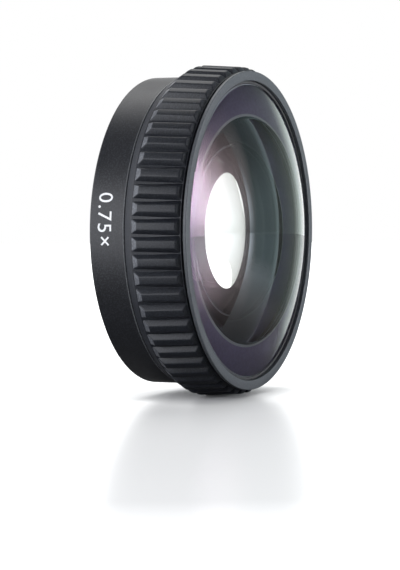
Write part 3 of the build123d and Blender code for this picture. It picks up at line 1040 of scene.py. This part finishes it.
def printed_number(text, height, station, angle):
    """White figures that read down the barrel, their tops towards the front."""
    bpy.ops.object.select_all(action="DESELECT")
    bpy.ops.object.text_add()
    figures = bpy.context.object
    figures.data.body = text
    figures.data.align_x = "CENTER"
    figures.data.align_y = "CENTER"
    figures.data.size = height * MM / CAP_SHARE
    figures.data.extrude = PRINT_HALF * MM
    figures.data.space_character = PRINT_SPACING
    bpy.ops.object.convert(target="MESH")
    figures = bpy.context.object
    figures.name = "printed_number"
    for vertex in figures.data.vertices:
        along, up, out = vertex.co / MM
        reach = BARREL_RADIUS + PRINT_HALF + out
        turn = angle + along / BARREL_RADIUS * 180 / pi
        vertex.co = point(station + up, reach, turn)
    return figures


number = finish_mesh(printed_number("0.75\u00d7", PRINT_HEIGHT, PRINT_STATION, PRINT_ANGLE))
paint(number, print_white)
settle(number, "barrel", "barrel_metal")

# Floor: a white glossy board with a painted soft shadow near the lens: its colour, as other surfaces
# see it, is darker there, and its glow and gloss are dimmed by ambient occlusion. Where the camera
# looks at it, it also glows a little, more so further out, so that it turns into the white
# background; the weaker glow near the lens is painted shadow as well

bpy.ops.object.select_all(action="DESELECT")
bpy.ops.mesh.primitive_circle_add(
    vertices=128, radius=FLOOR_RADIUS, fill_type="NGON", location=(0, 0, FLOOR * MM)
)
floor = bpy.context.object
floor.name = "studio_floor"
board = new_material("glossy_white_board")
away = board.node(
    "ShaderNodeVectorMath",
    {0: board.node("ShaderNodeTexCoord", output="Object")},
    output=1,
    operation="LENGTH",
)
away_share = away * (1 / FLOOR_RADIUS)
looked = board.looked_at()
# The glow is weakest near the lens: painted shadow
glow_with_painted_shadow = board.ramp(
    away_share, (0.0, 0.15), (0.02, 0.3), (0.05, 0.4), (0.1, 0.42), (0.165, 0.46), (0.22, 1.0)
)
inside = board.light_path("Is Transmission Ray")
# Painted shade: the floor is darker near the lens, as other surfaces see it
shade = board.ramp(away_share, (0.04, 0.18), (0.1, 0.8)) * (1.0 - inside * FLOOR_HELD_BACK)
# Ambient occlusion dims the glow and the gloss under the lens: painted shadow
painted_occlusion_shadow = board.node(
    "ShaderNodeAmbientOcclusion", {"Distance": CONTACT_SHADOW * MM}, output="AO", samples=8
)
glow = board.node("ShaderNodeEmission", {"Color": (1.0, 1.0, 1.0), "Strength": looked * glow_with_painted_shadow * painted_occlusion_shadow})
tone = board.mix(looked, shade, (0.6, 0.6, 0.6))
shine = board.mix(looked, shade, (1.0, 1.0, 1.0))
sheen = board.node("ShaderNodeBsdfAnisotropic", {"Color": shine, "Roughness": 0.2})
paper = board.node("ShaderNodeBsdfDiffuse", {"Color": tone})
grazing = board.node("ShaderNodeFresnel", {"IOR": 1.3})
gloss = grazing * (3.0 - looked * 2.25) * painted_occlusion_shadow
surface = board.node("ShaderNodeMixShader", {0: gloss, 1: paper, 2: sheen})
paint(floor, board.show(board.node("ShaderNodeAddShader", {0: surface, 1: glow})))

# Studio: a room that is bright behind the lens, most of all towards +X, and dim in front of it, a
# narrow bright box of light before the glass, a wide weaker one behind towards -X, and a soft lamp
# above. Less of the room and boxes reaches inside the glass

world = bpy.data.worlds.new("studio")
bpy.context.scene.world = world
studio = Nodes(world, "ShaderNodeOutputWorld")
direction = studio.node("ShaderNodeTexCoord", output="Generated")
sideways = studio.node("ShaderNodeSeparateXYZ", {0: direction}, output="X")
backwards = studio.node("ShaderNodeSeparateXYZ", {0: direction}, output="Y")
height = studio.node("ShaderNodeSeparateXYZ", {0: direction}, output="Z")
azimuth = studio.node("ShaderNodeMath", {0: sideways, 1: backwards * -1.0}, operation="ARCTAN2")
around = azimuth * (0.5 / pi) + 0.5


def bearing(degrees):
    """The ramp place of an azimuth in degrees, counted from the front of the lens towards +X."""
    return degrees / 360 + 0.5


room = studio.ramp(
    around,
    (bearing(-180), (0.9, 0.96, 1.08)),
    (bearing(-150), (0.7, 0.73, 0.79)),
    (bearing(-120), (0.7, 0.73, 0.78)),
    (bearing(-65), (0.4, 0.42, 0.45)),
    (bearing(0), (0.3, 0.32, 0.34)),
    (bearing(40), (0.29, 0.36, 0.37)),
    (bearing(72), (0.26, 0.35, 0.36)),
    (bearing(83), (0.36, 0.46, 0.46)),
    (bearing(92), (1.12, 1.35, 1.33)),
    (bearing(102), (1.7, 1.77, 1.77)),
    (bearing(122), (1.85, 1.85, 1.85)),
    (bearing(140), (1.15, 1.15, 1.2)),
    (bearing(180), (0.9, 0.96, 1.08)),
)
box_width = studio.ramp(
    around,
    (bearing(14), 0.0),
    (bearing(19), 1.0),
    (bearing(25), 1.0),
    (bearing(30), 0.45),
    (bearing(38), 0.12),
    (bearing(52), 0.0),
)
box_height = studio.ramp(
    height + 0.5,
    (0.1, 0.0),
    (0.2, 0.2),
    (0.3, 0.3),
    (0.46, 0.42),
    (0.57, 1.0),
    (0.7, 1.0),
    (0.8, 0.5),
    (0.92, 0.0),
)
side_width = studio.ramp(
    around,
    (bearing(-180), 0.35),
    (bearing(-150), 0.5),
    (bearing(-132), 1.0),
    (bearing(-105), 1.0),
    (bearing(-88), 0.0),
    (bearing(150), 0.0),
    (bearing(180), 0.35),
)
side_height = studio.ramp(height * 0.7 + 0.5, (0.36, 0.0), (0.5, 1.0), (0.75, 1.0), (0.9, 0.0))
boxes = box_width * box_height * BOX_LEVEL + side_width * side_height * SIDE_LEVEL
ceiling = studio.ramp(height, (0.15, 1.0), (0.38, 0.5), (0.8, 0.3))
inside = studio.light_path("Is Transmission Ray")
room_level = ceiling * (1.0 - inside * ROOM_HELD_BACK)
box_level = boxes * (1.0 - inside * BOXES_HELD_BACK)
room_light = studio.node("ShaderNodeBackground", {"Color": room, "Strength": room_level})
box_light = studio.node("ShaderNodeBackground", {"Color": (1.0, 1.02, 1.08), "Strength": box_level})
backdrop = studio.node("ShaderNodeBackground", {"Color": (1.0, 1.0, 1.0)})
lit = studio.node("ShaderNodeAddShader", {0: room_light, 1: box_light})
studio.show(studio.node("ShaderNodeMixShader", {0: studio.looked_at(), 1: lit, 2: backdrop}))


def towards(azimuth, elevation):
    """The direction at an azimuth, counted from the front of the lens towards +X, and an elevation."""
    around, above = radians(azimuth), radians(elevation)
    return Vector((sin(around) * cos(above), -cos(around) * cos(above), sin(above)))


lamp = bpy.data.lights.new("top_softbox", "AREA")
lamp.shape = "RECTANGLE"
lamp.size, lamp.size_y = LAMP_SIDES
lamp.energy = LAMP_POWER
softbox = bpy.data.objects.new("top_softbox", lamp)
bpy.context.scene.collection.objects.link(softbox)
lamp_side = towards(LAMP_AZIMUTH, LAMP_ELEVATION)
aim = lamp_side.to_track_quat("Z", "Y").to_matrix().to_4x4()
softbox.matrix_world = Matrix.Translation(lamp_side * LAMP_DISTANCE) @ aim

# Camera at the photograph's view

view_turn, roll = radians(VIEW_AZIMUTH), radians(VIEW_ROLL)
back = towards(VIEW_AZIMUTH, VIEW_ELEVATION)
level_right = Vector((cos(view_turn), sin(view_turn), 0))
level_up = back.cross(level_right)
right = level_right * cos(roll) + level_up * sin(roll)
up = level_up * cos(roll) - level_right * sin(roll)
camera_data = bpy.data.cameras.new("camera")
camera_data.sensor_width = SENSOR
camera_data.lens = PIXELS_PER_MM * VIEW_DISTANCE * SENSOR / IMAGE_HEIGHT
camera_data.clip_start = 0.01
camera = bpy.data.objects.new("camera", camera_data)
bpy.context.scene.collection.objects.link(camera)
spot = (right * VIEW_RIGHT + up * VIEW_UP + back * VIEW_DISTANCE) * MM
turn = Matrix((right, up, back)).transposed().to_4x4()
camera.matrix_world = Matrix.Translation(spot) @ turn
bpy.context.scene.camera = camera
bpy.context.scene.view_settings.view_transform = "Standard"
